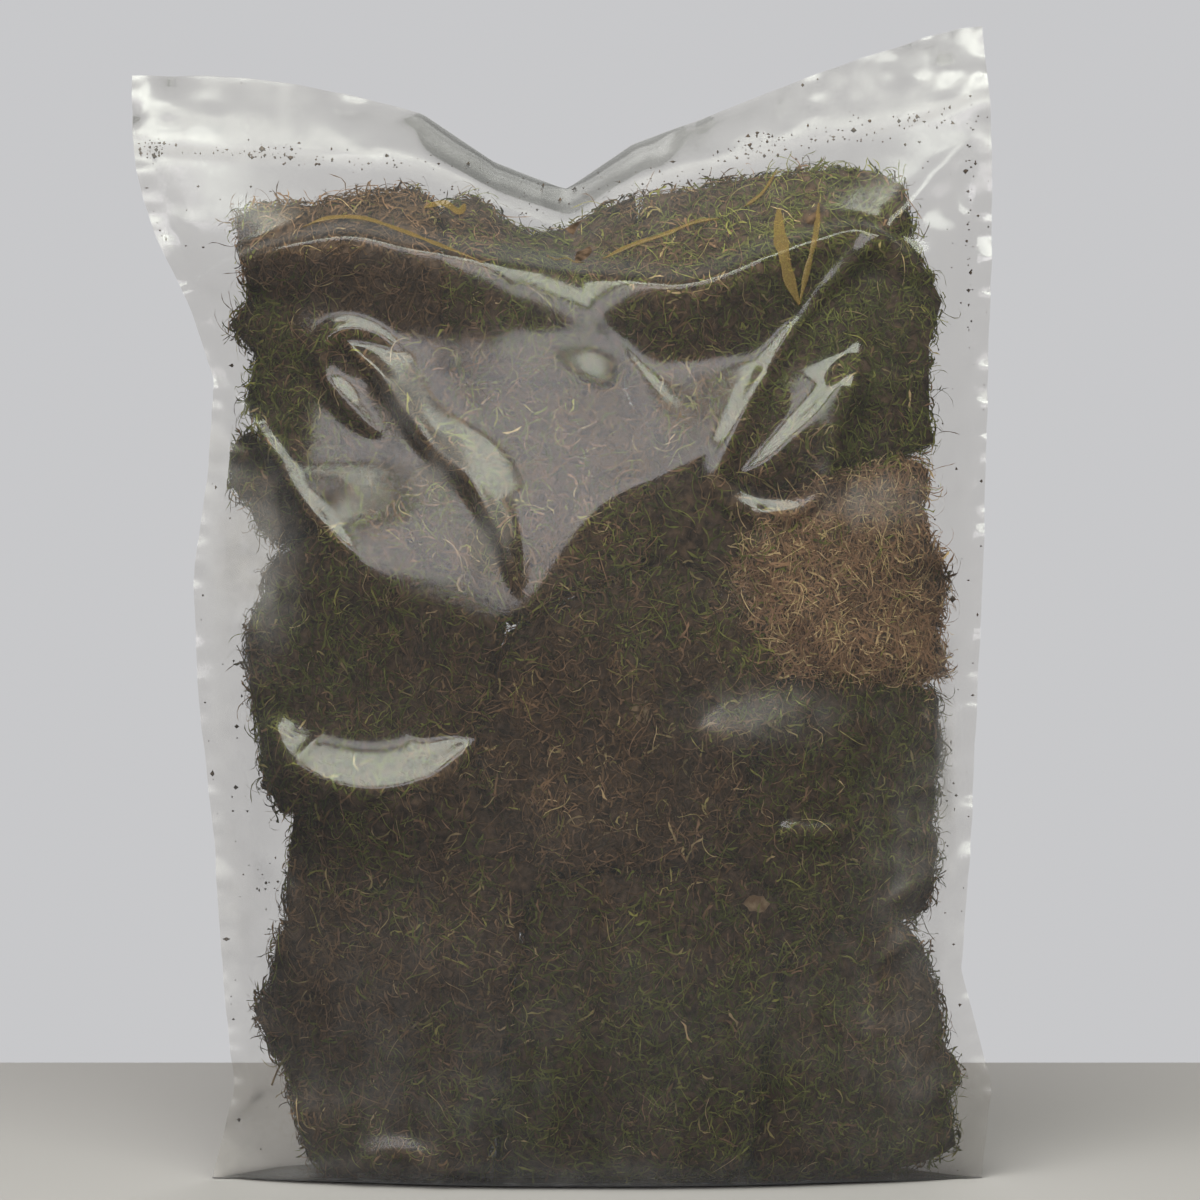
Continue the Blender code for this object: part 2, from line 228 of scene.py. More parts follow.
class BagShape:
    """The outline and the two surfaces of the bag, read off the CAD webs and smoothed, then creased."""

    def __init__(self):
        self.points, self.edges = cad_arrays("bag_front_film")
        corner_left = self.points[np.argmax(self.points[:, 2] - self.points[:, 0])]
        corner_right = self.points[np.argmax(self.points[:, 2] + self.points[:, 0])]
        self.heights = np.linspace(NEAR_EDGE, corner_right[2] - NEAR_EDGE, OUTLINE_SAMPLES)
        spans = np.array([self.extent(2, h, 0) for h in self.heights])
        self.left_at = np.where(self.heights < corner_left[2] - 2 * NEAR_EDGE, spans[:, 0], corner_left[0])
        self.right_at = spans[:, 1]
        self.xs = np.linspace(corner_left[0] + 0.3 * MM, corner_right[0] - 0.3 * MM, OUTLINE_SAMPLES)
        self.top_at = np.array([self.extent(0, x, 2)[1] for x in self.xs])
        self.across = np.linspace(0, 1, FILM_COLUMNS)
        corner = BASE_RADIUS * (1 - np.cos(np.linspace(CORNER_START, math.pi / 2, CORNER_ROWS)))
        middle_top = float(np.median(self.top_at))
        wall = np.linspace(corner[-1] / middle_top, 1, FILM_ROWS)[1:]
        self.shares = np.concatenate([corner / middle_top, wall])
        self.x, self.z = self.grid()
        self.front = self.surface("bag_front_film", -1)
        self.back = self.surface("bag_back_film", 1)

    def extent(self, axis, at, along):
        """The front web's lowest and highest value along one axis, at the plane `at` on another axis."""
        a, b = self.points[self.edges[:, 0]], self.points[self.edges[:, 1]]
        cut = (a[:, axis] - at) * (b[:, axis] - at) <= 0
        a, b = a[cut], b[cut]
        gap = b[:, axis] - a[:, axis]
        t = np.where(np.abs(gap) > 1e-9, (at - a[:, axis]) / np.where(np.abs(gap) > 1e-9, gap, 1), 0)
        values = a[:, along] + t * (b[:, along] - a[:, along])
        return values.min(), values.max()

    def left(self, z):
        return np.interp(z, self.heights, self.left_at)

    def right(self, z):
        return np.interp(z, self.heights, self.right_at)

    def top(self, x):
        return np.interp(x, self.xs, self.top_at)

    def grid(self):
        """x and z of each grid point: rows go up the bag, columns across it.

        The top edge depends on x, and x on how high the top is, so a few rounds settle them together.
        """
        across = self.across[None, :]
        top = np.full(FILM_COLUMNS, FIRST_TOP)
        for _ in range(TOP_ROUNDS):
            top = self.top(self.left(top) + self.across * (self.right(top) - self.left(top)))
        z = self.shares[:, None] * top[None, :]
        return self.left(z) + across * (self.right(z) - self.left(z)), z

    def surface(self, node, side):
        """y of the outer face of a web at each grid point, with the CAD facets smoothed away."""
        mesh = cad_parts[node].data
        tree = BVHTree.FromPolygons([v.co for v in mesh.vertices], [p.vertices[:] for p in mesh.polygons])
        inside_x = np.clip(self.x, self.left(self.z) + 0.6 * MM, self.right(self.z) - 0.6 * MM)
        inside_z = np.clip(self.z, 0.4 * MM, self.z[-1] - 0.8 * MM)
        y = np.full(self.x.shape, np.nan)
        start, way = side * 1.0, Vector((0, -side, 0))
        for place in np.ndindex(y.shape):
            hit = tree.ray_cast(Vector((inside_x[place], start, inside_z[place])), way)[0]
            if hit is not None:
                y[place] = hit.y
        for row in y:
            known = ~np.isnan(row)
            row[~known] = np.interp(self.across[~known], self.across[known], row[known])
        for _ in range(FACET_SMOOTHING):
            y[:, 1:-1] = (y[:, :-2] + 2 * y[:, 1:-1] + y[:, 2:]) / 4
            y[CORNER_ROWS:-1] = (y[CORNER_ROWS - 1:-2] + 2 * y[CORNER_ROWS:-1] + y[CORNER_ROWS + 1:]) / 4
        return y

    def lookup(self, grid, x, z):
        """A grid's value at any place on the bag."""
        left, right = self.left(z), self.right(z)
        column = np.clip((x - left) / (right - left), 0, 1) * (FILM_COLUMNS - 1)
        rows = np.arange(len(self.shares))
        column_top = np.interp(column, np.arange(FILM_COLUMNS), self.z[-1])
        row = np.interp(np.clip(z / column_top, 0, 1), self.shares, rows)
        c0 = np.minimum(column.astype(int), FILM_COLUMNS - 2)
        r0 = np.minimum(row.astype(int), len(rows) - 2)
        cs, rs = column - c0, row - r0
        low = grid[r0, c0] * (1 - cs) + grid[r0, c0 + 1] * cs
        high = grid[r0 + 1, c0] * (1 - cs) + grid[r0 + 1, c0 + 1] * cs
        return low * (1 - rs) + high * rs


def flat_points(shape):
    """The film's grid points laid flat, as (n, 3), so that noise is the same on both webs."""
    return np.stack([shape.x.ravel(), np.zeros(shape.x.size), shape.z.ravel()], axis=1)


def from_side_edge(shape):
    """How far in from the nearer side of the bag each grid point is."""
    return np.minimum(shape.x - shape.left(shape.z), shape.right(shape.z) - shape.x)


def distance_to_line(x, z, line):
    """Distance to a line of points, the side of it a place is on (positive is left), and how far along."""
    best = np.full(x.shape, np.inf)
    side = np.zeros(x.shape)
    along = np.zeros(x.shape)
    for k in range(len(line) - 1):
        a, b = line[k], line[k + 1]
        d = b - a
        t = np.clip(((x - a[0]) * d[0] + (z - a[1]) * d[1]) / (d @ d), 0, 1)
        gap_x, gap_z = x - a[0] - t * d[0], z - a[1] - t * d[1]
        gap = gap_x**2 + gap_z**2
        near = gap < best
        best = np.where(near, gap, best)
        side = np.where(near, d[0] * (z - a[1]) - d[1] * (x - a[0]), side)
        along = np.where(near, (k + t) / (len(line) - 1), along)
    return np.sqrt(best), side, along


def flank(t):
    """An even slope from 1 at t = 0 to 0 at t = 1, with its foot rounded off."""
    return np.log1p(np.exp(FLANK_SHARPNESS * (1 - t))) / np.log1p(np.exp(FLANK_SHARPNESS))


def creases(x, z, table):
    """How far the creases of a table push the film outwards at each place."""
    out = np.zeros(x.shape)
    for points, height, wide_left, wide_right in table:
        line = curve_through(np.array(points) * MM, 8 * len(points))
        reach = 2 * max(wide_left, wide_right) * MM
        low, high = line.min(0) - reach, line.max(0) + reach
        near = (x > low[0]) & (x < high[0]) & (z > low[1]) & (z < high[1])
        gap, side, along = distance_to_line(x[near], z[near], line)
        ends = np.clip(np.minimum(along, 1 - along) / CREASE_END, CREASE_THINNEST, 1) ** CREASE_END_POWER
        width = np.where(side > 0, wide_left, wide_right) * MM * ends
        away = np.sqrt(gap**2 + CREASE_ROUNDNESS**2) - CREASE_ROUNDNESS
        out[near] += height * MM * ends * flank(away / width)
    return out


def fine_wrinkles(shape, seed):
    """Small folds that run in from the side welds and down from the seal, fading into the bag."""
    x, z = shape.x, shape.z
    flat = flat_points(shape)
    from_side = from_side_edge(shape)
    near_side = np.exp(-np.maximum(from_side - WELD, 0) / (16 * MM))
    ripples = noise(flat, (34 * MM, 1, 6.5 * MM), seed).reshape(x.shape)
    sharp = 1 - 2 * np.abs(noise(flat, (26 * MM, 1, 11 * MM), seed + 1).reshape(x.shape))
    from_top = shape.top(x) - z
    near_top = np.exp(-np.maximum(from_top - 0.018, 0) / (22 * MM))
    drapes = 1 - 2 * np.abs(noise(flat, (13 * MM, 1, 40 * MM), seed + 2).reshape(x.shape))
    broad = noise(flat, (30 * MM, 1, 34 * MM), seed + 3).reshape(x.shape)
    rise = ripples * near_side + 1.3 * sharp * near_side + 0.8 * drapes * near_top + 0.8 * broad
    fade = np.clip((from_side - WELD) / (5 * MM), 0, 1) * np.clip(z / (14 * MM), 0, 1)
    return rise * MM * fade


def weld_crimps(shape):
    """Both webs of each side weld ripple together, in fine crimps across the margin."""
    in_weld = np.clip(1 - from_side_edge(shape) / (WELD * 1.15), 0, 1)
    flat = flat_points(shape)
    crimp = noise(flat, (11 * MM, 1, 7 * MM), 73) + 0.45 * noise(flat, (7 * MM, 1, 3.4 * MM), 71)
    crimp = crimp.reshape(shape.x.shape)
    wave = noise(flat, (1, 1, 23 * MM), 72).reshape(shape.x.shape)
    return (1.5 * crimp * np.sqrt(in_weld) + 1.6 * wave * in_weld) * MM


def flap_waves(shape):
    """The free flap above the seal bends as one double sheet, and the seal is a small kink across the bag."""
    x, z = shape.x, shape.z
    over_seal = z - seal_height(x)
    above = np.clip(over_seal / (25 * MM), 0, 1.3)
    flat = flat_points(shape)
    slow = noise(flat, (38 * MM, 1, 50 * MM), 81).reshape(x.shape)
    quick = 1 - 2 * np.abs(noise(flat, (17 * MM, 1, 15 * MM), 82).reshape(x.shape))
    crumple = 1 - 2 * np.abs(noise(flat, (6 * MM, 1, 7 * MM), 83).reshape(x.shape))
    rough = np.clip((x / MM - 95) / 25, 0.15, 1) + np.exp(-(((x / MM - 85) / 9) ** 2))
    kink = np.exp(-np.abs(over_seal) / (1.3 * MM))
    inside = np.clip(from_side_edge(shape) / (8 * MM), 0, 1)
    lean = FLAP_LEAN * np.maximum(over_seal, 0) * np.clip(1 + x / (120 * MM), 1, 1.8)
    waves = (1.6 * slow + 0.8 * quick) * above + 0.7 * rough * crumple * np.sqrt(above) + 0.7 * kink * inside
    return waves * MM - lean


def seal_height(x):
    places, heights = np.array(SEAL_LINE).T * MM
    return np.interp(x, places, heights)


def dust_and_highlight_amount(shape):
    """How dusty the film is at each place, from 0 to 1: most at the seal and the loose left side. A few
    patches are painted highlights.
    """
    x, z = shape.x, shape.z
    flat = flat_points(shape)
    clouds = noise(flat, 30 * MM, 61).reshape(x.shape) + 0.6 * noise(flat, 11 * MM, 62).reshape(x.shape)
    streaks = noise(flat, (5 * MM, 1, 30 * MM), 63).reshape(x.shape)
    below_seal = seal_height(x) - z
    shoulder = np.exp(-((below_seal - 10 * MM) / (16 * MM)) ** 2)
    flap = np.clip(-below_seal / (10 * MM), 0, 1)
    band = np.exp(-((below_seal / (1.8 * MM)) ** 2))
    total = DUST_ALL + DUST_SHOULDER * shoulder + DUST_FLAP * flap + DUST_SEAL * band
    # Some of these patches are painted highlights, not dust.
    for (place_x, place_z), (wide, tall), amount in DUST_AND_PAINTED_HIGHLIGHTS:
        total += amount * np.exp(-(((x / MM - place_x) / wide) ** 2) - ((z / MM - place_z) / tall) ** 2)
    return np.clip(total * (1 + 0.5 * clouds + 0.3 * streaks), 0, MOST_DUST_AND_HIGHLIGHT)


def film_web(name, node, shape, y, side, step, material):
    """A web of film as one sheet: from the middle of the base to its edge, and up the wall to its top."""
    dust_and_highlight = dust_and_highlight_amount(shape)
    columns = np.unique(np.append(np.arange(0, FILM_COLUMNS, step), FILM_COLUMNS - 1))
    rows = np.unique(np.append(np.arange(0, len(shape.shares), step), len(shape.shares) - 1))
    x, z, y, dust_and_highlight = (grid[np.ix_(rows, columns)] for grid in (shape.x, shape.z, y, dust_and_highlight))
    inward = np.linspace(BASE_START, 1, BASE_ROWS, endpoint=False)[:, None]
    base_x = np.repeat(x[:1], BASE_ROWS, axis=0)
    base_y = inward * y[:1]
    base_z = np.full(base_y.shape, FILM_LIFT)
    x, y, z = (np.vstack(pair) for pair in ((base_x, x), (base_y, y), (base_z, np.maximum(z, FILM_LIFT))))
    dust_and_highlight = np.vstack([np.repeat(dust_and_highlight[:1], BASE_ROWS, axis=0), dust_and_highlight])
    points = np.stack([x, y, z], axis=-1).reshape(-1, 3)
    index = np.arange(x.size).reshape(x.shape)
    a, b, c, d = index[:-1, :-1], index[:-1, 1:], index[1:, 1:], index[1:, :-1]
    faces = np.stack([a, b, c, d] if side < 0 else [a, d, c, b], axis=-1).reshape(-1, 4)
    u, v = np.meshgrid(np.linspace(0, 1, x.shape[1]), np.linspace(0, 1, x.shape[0]))
    web = make_mesh(name, points, faces, material, np.stack([u, v], axis=-1).reshape(-1, 2))
    layer = web.data.attributes.new("dust_and_highlight", "FLOAT", "POINT")
    layer.data.foreach_set("value", dust_and_highlight.astype(np.float32).ravel())
    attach(web, BODY)
    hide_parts(node)


# ---------------------------------------------------------------------------------- materials


def new_material(name):
    material = bpy.data.materials.new(name)
    material.use_nodes = True
    nodes, links = material.node_tree.nodes, material.node_tree.links
    return material, nodes, links, nodes["Principled BSDF"]


def see_through(material, tint):
    """Mixes clear film of a tint into a material, and gives the socket for how much of the rest shows."""
    nodes, links = material.node_tree.nodes, material.node_tree.links
    clear = nodes.new("ShaderNodeBsdfTransparent")
    clear.inputs["Color"].default_value = (*tint, 1)
    mix = nodes.new("ShaderNodeMixShader")
    links.new(clear.outputs["BSDF"], mix.inputs[1])
    links.new(nodes["Principled BSDF"].outputs["BSDF"], mix.inputs[2])
    links.new(mix.outputs["Shader"], nodes["Material Output"].inputs["Surface"])
    return mix.inputs["Fac"]


def film_material():
    """Thin clear film: light passes, with a gloss that grows towards the edges, and dust as the mesh says;
    the dust colour also paints a few highlight patches.
    """
    material, nodes, links, shader = new_material("clear_film")

    def math_node(operation, *values):
        node = nodes.new("ShaderNodeMath")
        node.operation = operation
        node.use_clamp = True
        for socket, value in zip(node.inputs, values):
            if isinstance(value, (int, float)):
                socket.default_value = value
            else:
                links.new(value, socket)
        return node.outputs["Value"]

    fresnel = nodes.new("ShaderNodeFresnel")
    fresnel.inputs["IOR"].default_value = 1.5
    gloss = math_node("MULTIPLY", fresnel.outputs["Fac"], FILM_GLOSS)
    place = nodes.new("ShaderNodeTexCoord")
    scuffs = nodes.new("ShaderNodeTexNoise")
    scuffs.inputs["Scale"].default_value = 160
    scuffs.inputs["Detail"].default_value = 5
    links.new(place.outputs["Object"], scuffs.inputs["Vector"])
    cloud = nodes.new("ShaderNodeAttribute")
    cloud.attribute_name = "dust_and_highlight"
    uneven = math_node("MULTIPLY_ADD", scuffs.outputs["Fac"], 1.6, -0.1)
    dust_and_highlight = math_node("MULTIPLY", cloud.outputs["Fac"], uneven)
    both = math_node("ADD", gloss, dust_and_highlight)
    dust_and_highlight_share = math_node("DIVIDE", dust_and_highlight, both)
    # Where the dust share is high the colour turns to the dust colour, which also paints the highlight
    # patches.
    colour = nodes.new("ShaderNodeMix")
    colour.data_type = "RGBA"
    colour.inputs["A"].default_value = (*FILM_SHEEN, 1)
    colour.inputs["B"].default_value = (*DUST_AND_HIGHLIGHT_COLOUR, 1)
    links.new(dust_and_highlight_share, colour.inputs["Factor"])
    links.new(colour.outputs["Result"], shader.inputs["Base Color"])
    links.new(math_node("MULTIPLY_ADD", dust_and_highlight_share, -0.8, 0.8), shader.inputs["Metallic"])
    links.new(math_node("MULTIPLY_ADD", dust_and_highlight_share, 0.8, FILM_ROUGHNESS), shader.inputs["Roughness"])
    links.new(both, see_through(material, FILM_TINT))
    return material


def pleat_material():
    """Folded film painted amber: the warm colour is a painted glint, for the warm light that the folds
    gather.
    """
    material, _, _, shader = new_material("painted_glint_pleat")
    # The amber base colour is a painted glint, not a tint of the film.
    shader.inputs["Base Color"].default_value = (0.33, 0.235, 0.095, 1)
    shader.inputs["Roughness"].default_value = 0.3
    see_through(material, (0.9, 0.8, 0.6)).default_value = 0.34
    return material


# Colour of a shoot against its tone, the first number of its place in the OFBake map.
TONES = (
    (0.00, (0.030, 0.021, 0.011)), (0.18, (0.075, 0.046, 0.023)), (0.34, (0.140, 0.082, 0.039)),
    (0.44, (0.200, 0.118, 0.068)), (0.54, (0.105, 0.080, 0.026)), (0.66, (0.078, 0.082, 0.018)),
    (0.78, (0.118, 0.130, 0.028)), (0.90, (0.220, 0.205, 0.049)), (1.00, (0.380, 0.270, 0.150)),
)


def shoot_material():
    """Moss shoots: a tone along the ramp, and a shade from the dark foot of a shoot to its pale tip."""
    material, nodes, links, shader = new_material("moss_shoots")
    uv = nodes.new("ShaderNodeUVMap")
    uv.uv_map = "OFBake"
    split = nodes.new("ShaderNodeSeparateXYZ")
    links.new(uv.outputs["UV"], split.inputs["Vector"])
    ramp = nodes.new("ShaderNodeValToRGB")
    while len(ramp.color_ramp.elements) < len(TONES):
        ramp.color_ramp.elements.new(0.5)
    for element, (place, colour) in zip(ramp.color_ramp.elements, TONES):
        element.position = place
        element.color = (*colour, 1)
    links.new(split.outputs["X"], ramp.inputs["Fac"])
    shade = nodes.new("ShaderNodeMapRange")
    shade.inputs["To Min"].default_value = 0.30
    shade.inputs["To Max"].default_value = 1.75
    links.new(split.outputs["Y"], shade.inputs["Value"])
    tint = nodes.new("ShaderNodeMix")
    tint.data_type = "RGBA"
    tint.blend_type = "MULTIPLY"
    tint.inputs["Factor"].default_value = 1.0
    links.new(ramp.outputs["Color"], tint.inputs["A"])
    links.new(shade.outputs["Result"], tint.inputs["B"])
    links.new(tint.outputs["Result"], shader.inputs["Base Color"])
    shader.inputs["Roughness"].default_value = 0.82
    shader.inputs["Specular IOR Level"].default_value = 0.25
    return material


def ground_material(name, dark, light, scale):
    """A dull, uneven material: two colours in patches, with grain."""
    material, nodes, links, shader = new_material(name)
    place = nodes.new("ShaderNodeTexCoord")
    spots = nodes.new("ShaderNodeTexNoise")
    spots.inputs["Scale"].default_value = scale
    spots.inputs["Detail"].default_value = 6
    links.new(place.outputs["Object"], spots.inputs["Vector"])
    ramp = nodes.new("ShaderNodeValToRGB")
    ramp.color_ramp.elements[0].position = 0.35
    ramp.color_ramp.elements[0].color = (*dark, 1)
    ramp.color_ramp.elements[1].position = 0.68
    ramp.color_ramp.elements[1].color = (*light, 1)
    links.new(spots.outputs["Fac"], ramp.inputs["Fac"])
    links.new(ramp.outputs["Color"], shader.inputs["Base Color"])
    grain = nodes.new("ShaderNodeBump")
    grain.inputs["Strength"].default_value = 0.6
    grain.inputs["Distance"].default_value = 0.0006
    links.new(spots.outputs["Fac"], grain.inputs["Height"])
    links.new(grain.outputs["Normal"], shader.inputs["Normal"])
    shader.inputs["Roughness"].default_value = 0.95
    shader.inputs["Specular IOR Level"].default_value = 0.2
    return material


# ---------------------------------------------------------------------------------- moss

# Each pad: how green it is (0 brown, 1 green), how light, and how many shoots it has.
PADS = {
    "moss_pad_top_left": (0.22, 0.50, 6600),
    "moss_pad_top_middle": (0.60, 0.50, 4000),
    "moss_pad_top_right": (0.72, 0.46, 8600),
    "moss_pad_centre_upper": (0.30, 0.55, 5400),
    "moss_clump_tan": (0.05, 1.25, 7200),
    "moss_pad_left_pocket": (0.30, 0.40, 1200),
    "moss_pad_left": (0.45, 0.50, 5600),
    "moss_pad_centre": (0.30, 0.50, 6600),
    "moss_pad_right": (0.50, 0.48, 4700),
    "moss_pad_bottom_left": (0.34, 0.52, 6900),
    "moss_pad_bottom_middle": (0.66, 0.52, 6200),
    "moss_pad_bottom_right": (0.45, 0.42, 4600),
    "moss_pad_back_upper_left": (0.30, 0.48, 3300),
    "moss_pad_back_upper_right": (0.55, 0.48, 3500),
    "moss_pad_back_lower_left": (0.55, 0.50, 3300),
    "moss_pad_back_lower_right": (0.30, 0.50, 3200),
}
# Patches that are greener (positive) or browner (negative) than their pad: place, radius, and by how much.
TINTS = (
    ((-92, 262), 26, 0.55), ((-60, 300), 34, -0.45), ((-8, 292), 20, 0.45), ((34, 318), 18, -0.35),
    ((105, 275), 34, 0.35), ((42, 262), 24, -0.35), ((78, 300), 20, 0.35), ((30, 196), 16, 0.35),
    ((-72, 165), 26, 0.30), ((-66, 112), 24, 0.45), ((0, 125), 46, -0.45), ((-78, 75), 34, -0.35),
    ((-18, 30), 26, 0.40), ((60, 50), 46, 0.30), ((112, 62), 18, -0.40), ((112, 12), 16, 0.40),
    ((112, 125), 22, 0.35), ((60, 175), 16, 0.25), ((30, 110), 24, -0.25),
)
# A shoot is leafy or thin: how many sections its ribbon has, and the least and most of its length and width.
LEAFY_SECTIONS, LEAFY_LENGTH, LEAFY_WIDTH = 5, (3.5, 8.5), (0.5, 1.0)
THIN_SECTIONS, THIN_LENGTH, THIN_WIDTH = 7, (7, 15), (0.24, 0.42)
# How far a pad's core may grow, and how far under the film its pressed face lies.
PAD_GROWTH = 5 * MM
PRESSED_IN = 2.6
# Half the width that a shoot takes up in the OFBake map.
TONE_WIDTH = 0.004


def unit(v):
    return v / np.maximum(np.linalg.norm(v, axis=-1, keepdims=True), 1e-12)


def surface_samples(points, triangles, count, rng, weigh):
    """Places spread over a mesh's surface, with its normal at each. weigh says how much each face gets."""
    a, b, c = (points[triangles[:, k]] for k in range(3))
    cross = np.cross(b - a, c - a)
    area = np.linalg.norm(cross, axis=1) / 2
    centre = (a + b + c) / 3
    share = area * weigh(centre)
    chosen = rng.choice(len(area), count, p=share / share.sum())
    r1, r2 = np.sqrt(rng.random(count))[:, None], rng.random(count)[:, None]
    place = (1 - r1) * a[chosen] + r1 * (1 - r2) * b[chosen] + r1 * r2 * c[chosen]
    return place, unit(cross[chosen])


def greenness(base, places):
    green = np.full(len(places), base)
    for (x, z), radius, amount in TINTS:
        gap = np.hypot(places[:, 0] / MM - x, places[:, 2] / MM - z)
        green += amount * np.exp(-((gap / radius) ** 2))
    return green + 0.38 * noise(places, 13 * MM, 5) + 0.16 * noise(places, 4 * MM, 6)


def keep_inside(shape, path):
    """Points moved in between the two webs of film, inside the welds."""
    x = np.clip(path[:, 0], shape.left(path[:, 2]) + WELD + MM, shape.right(path[:, 2]) - WELD - MM)
    z = np.maximum(path[:, 2], 1.2 * MM)
    front = shape.lookup(shape.front, x, z) + MOSS_TO_FILM
    back = shape.lookup(shape.back, x, z) - MOSS_TO_FILM
    middle = (front + back) / 2
    y = np.clip(path[:, 1], np.minimum(front, middle), np.maximum(back, middle))
    return np.stack([x, y, z], axis=1)


def ribbons(shape, roots, normals, tone, light, rng, length, width, lift, curl, sections):
    """Shoots as narrow curled ribbons: their points, faces and places in the OFBake map.

    The ribbons are wide and narrow by turns, as the leaves stand off the stem.
    """
    n = len(roots)
    side_a = unit(np.cross(normals, rng.normal(size=(n, 3))))
    up = np.array([0, 0, 1.0]) - normals * normals[:, 2:3]
    upright = (rng.random(n) < 0.35)[:, None]
    lean = unit(up + 0.45 * side_a)
    side_a = np.where(upright, lean * np.where(rng.random(n) < 0.5, 1, -1)[:, None], side_a)
    side_b = np.cross(normals, side_a)
    t = np.linspace(0, 1, sections)[None, :]
    sway = 0.5 * np.sin(2 * math.pi * (t + rng.random((n, 1)))) * rng.normal(size=(n, 1))
    turn = curl[:, None] * t + sway
    rise = lift[:, None] * (1 - 1.9 * t)
    way = (
        (np.cos(turn) * np.cos(rise))[..., None] * side_a[:, None]
        + (np.sin(turn) * np.cos(rise))[..., None] * side_b[:, None]
        + np.sin(rise)[..., None] * normals[:, None]
    )
    step = (length / (sections - 1))[:, None, None]
    path = roots[:, None] + np.cumsum(way * step, axis=1) - way[:, :1] * step
    roll = rng.uniform(-1.0, 1.0, n)
    flat = unit(np.cross(way, normals[:, None]))
    edge = np.cos(roll)[:, None, None] * flat + np.sin(roll)[:, None, None] * normals[:, None]
    profile = np.where(np.arange(sections) % 2 == 1, 1.0, 0.5)
    profile = profile * np.array([0.7] + [1.0] * (sections - 2) + [0.24])
    half = (width / 2)[:, None, None] * profile[None, :, None] * edge
    pair = np.stack([path - half, path + half], axis=2).reshape(-1, 3)
    points = keep_inside(shape, pair)
    first = (np.arange(n)[:, None] * sections * 2 + np.arange(sections - 1)[None, :] * 2).ravel()
    faces = np.stack([first, first + 1, first + 3, first + 2], axis=1)
    shade = np.clip(light[:, None] * (0.45 + 0.75 * t), 0.01, 0.99)
    across = np.array([-TONE_WIDTH, TONE_WIDTH])
    u = np.clip(tone, 0.01, 0.99)[:, None, None] + across[None, None, :] + np.zeros((1, sections, 1))
    v = np.repeat(shade[..., None], 2, axis=2)
    return points, faces, np.stack([u, v], axis=-1).reshape(-1, 2)


def mesh_arrays(mesh):
    points = np.zeros(len(mesh.vertices) * 3)
    mesh.vertices.foreach_get("co", points)
    normals = np.zeros(len(mesh.vertices) * 3)
    mesh.vertices.foreach_get("normal", normals)
    return points.reshape(-1, 3), normals.reshape(-1, 3)


def pad_core(node, shape, neighbours, material):
    """The pad's solid body: the CAD lump made finer, grown until it meets the next pads, and uneven."""
    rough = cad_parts[node].data
    points, triangles = [v.co[:] for v in rough.vertices], [p.vertices[:3] for p in rough.polygons]
    coarse = make_mesh(node.replace("moss_", "core_"), points, triangles, material)
    weld = coarse.modifiers.new("weld", "WELD")
    weld.merge_threshold = 0.1 * MM
    fine = coarse.modifiers.new("fine", "SUBSURF")
    fine.subdivision_type = "SIMPLE"
    fine.levels = fine.render_levels = 1
    bpy.context.view_layer.update()
    graph = bpy.context.evaluated_depsgraph_get()
    mesh = bpy.data.meshes.new_from_object(coarse.evaluated_get(graph))
    coarse.modifiers.clear()
    coarse.data = mesh
    places, normals = mesh_arrays(mesh)
    room = np.array([neighbours.find_nearest(Vector(place))[3] for place in places])
    growth = np.minimum(0.48 * room, PAD_GROWTH) * np.clip((22 * MM - room) / (10 * MM), 0.4, 1)
    near_seal = np.clip((places[:, 2] / MM - 285) / 25, 0, 1)
    under_seal = np.maximum(seal_height(places[:, 0]) - 3 * MM - places[:, 2], 0)
    places = places + np.array([0, 0, 0.5]) * (near_seal * under_seal)[:, None]
    lumps = 1.4 * noise(places, 9 * MM, 21) + 0.8 * noise(places, 3.2 * MM, 22) - 0.6
    moved = keep_inside(shape, places + normals * (growth + lumps * MM)[:, None])
    pressed = (PRESSED_IN + 1.3 * noise(moved, 13 * MM, 23)) * MM
    for surface, side in ((shape.front, -1), (shape.back, 1)):
        facing = np.clip((side * normals[:, 1] - 0.12) / 0.3, 0, 1)
        film = shape.lookup(surface, moved[:, 0], moved[:, 2]) - side * pressed
        moved[:, 1] += 0.85 * facing * (film - moved[:, 1])
    mesh.vertices.foreach_set("co", moved.astype(np.float32).ravel())
    mesh.shade_smooth()
    mesh.update()
    return coarse


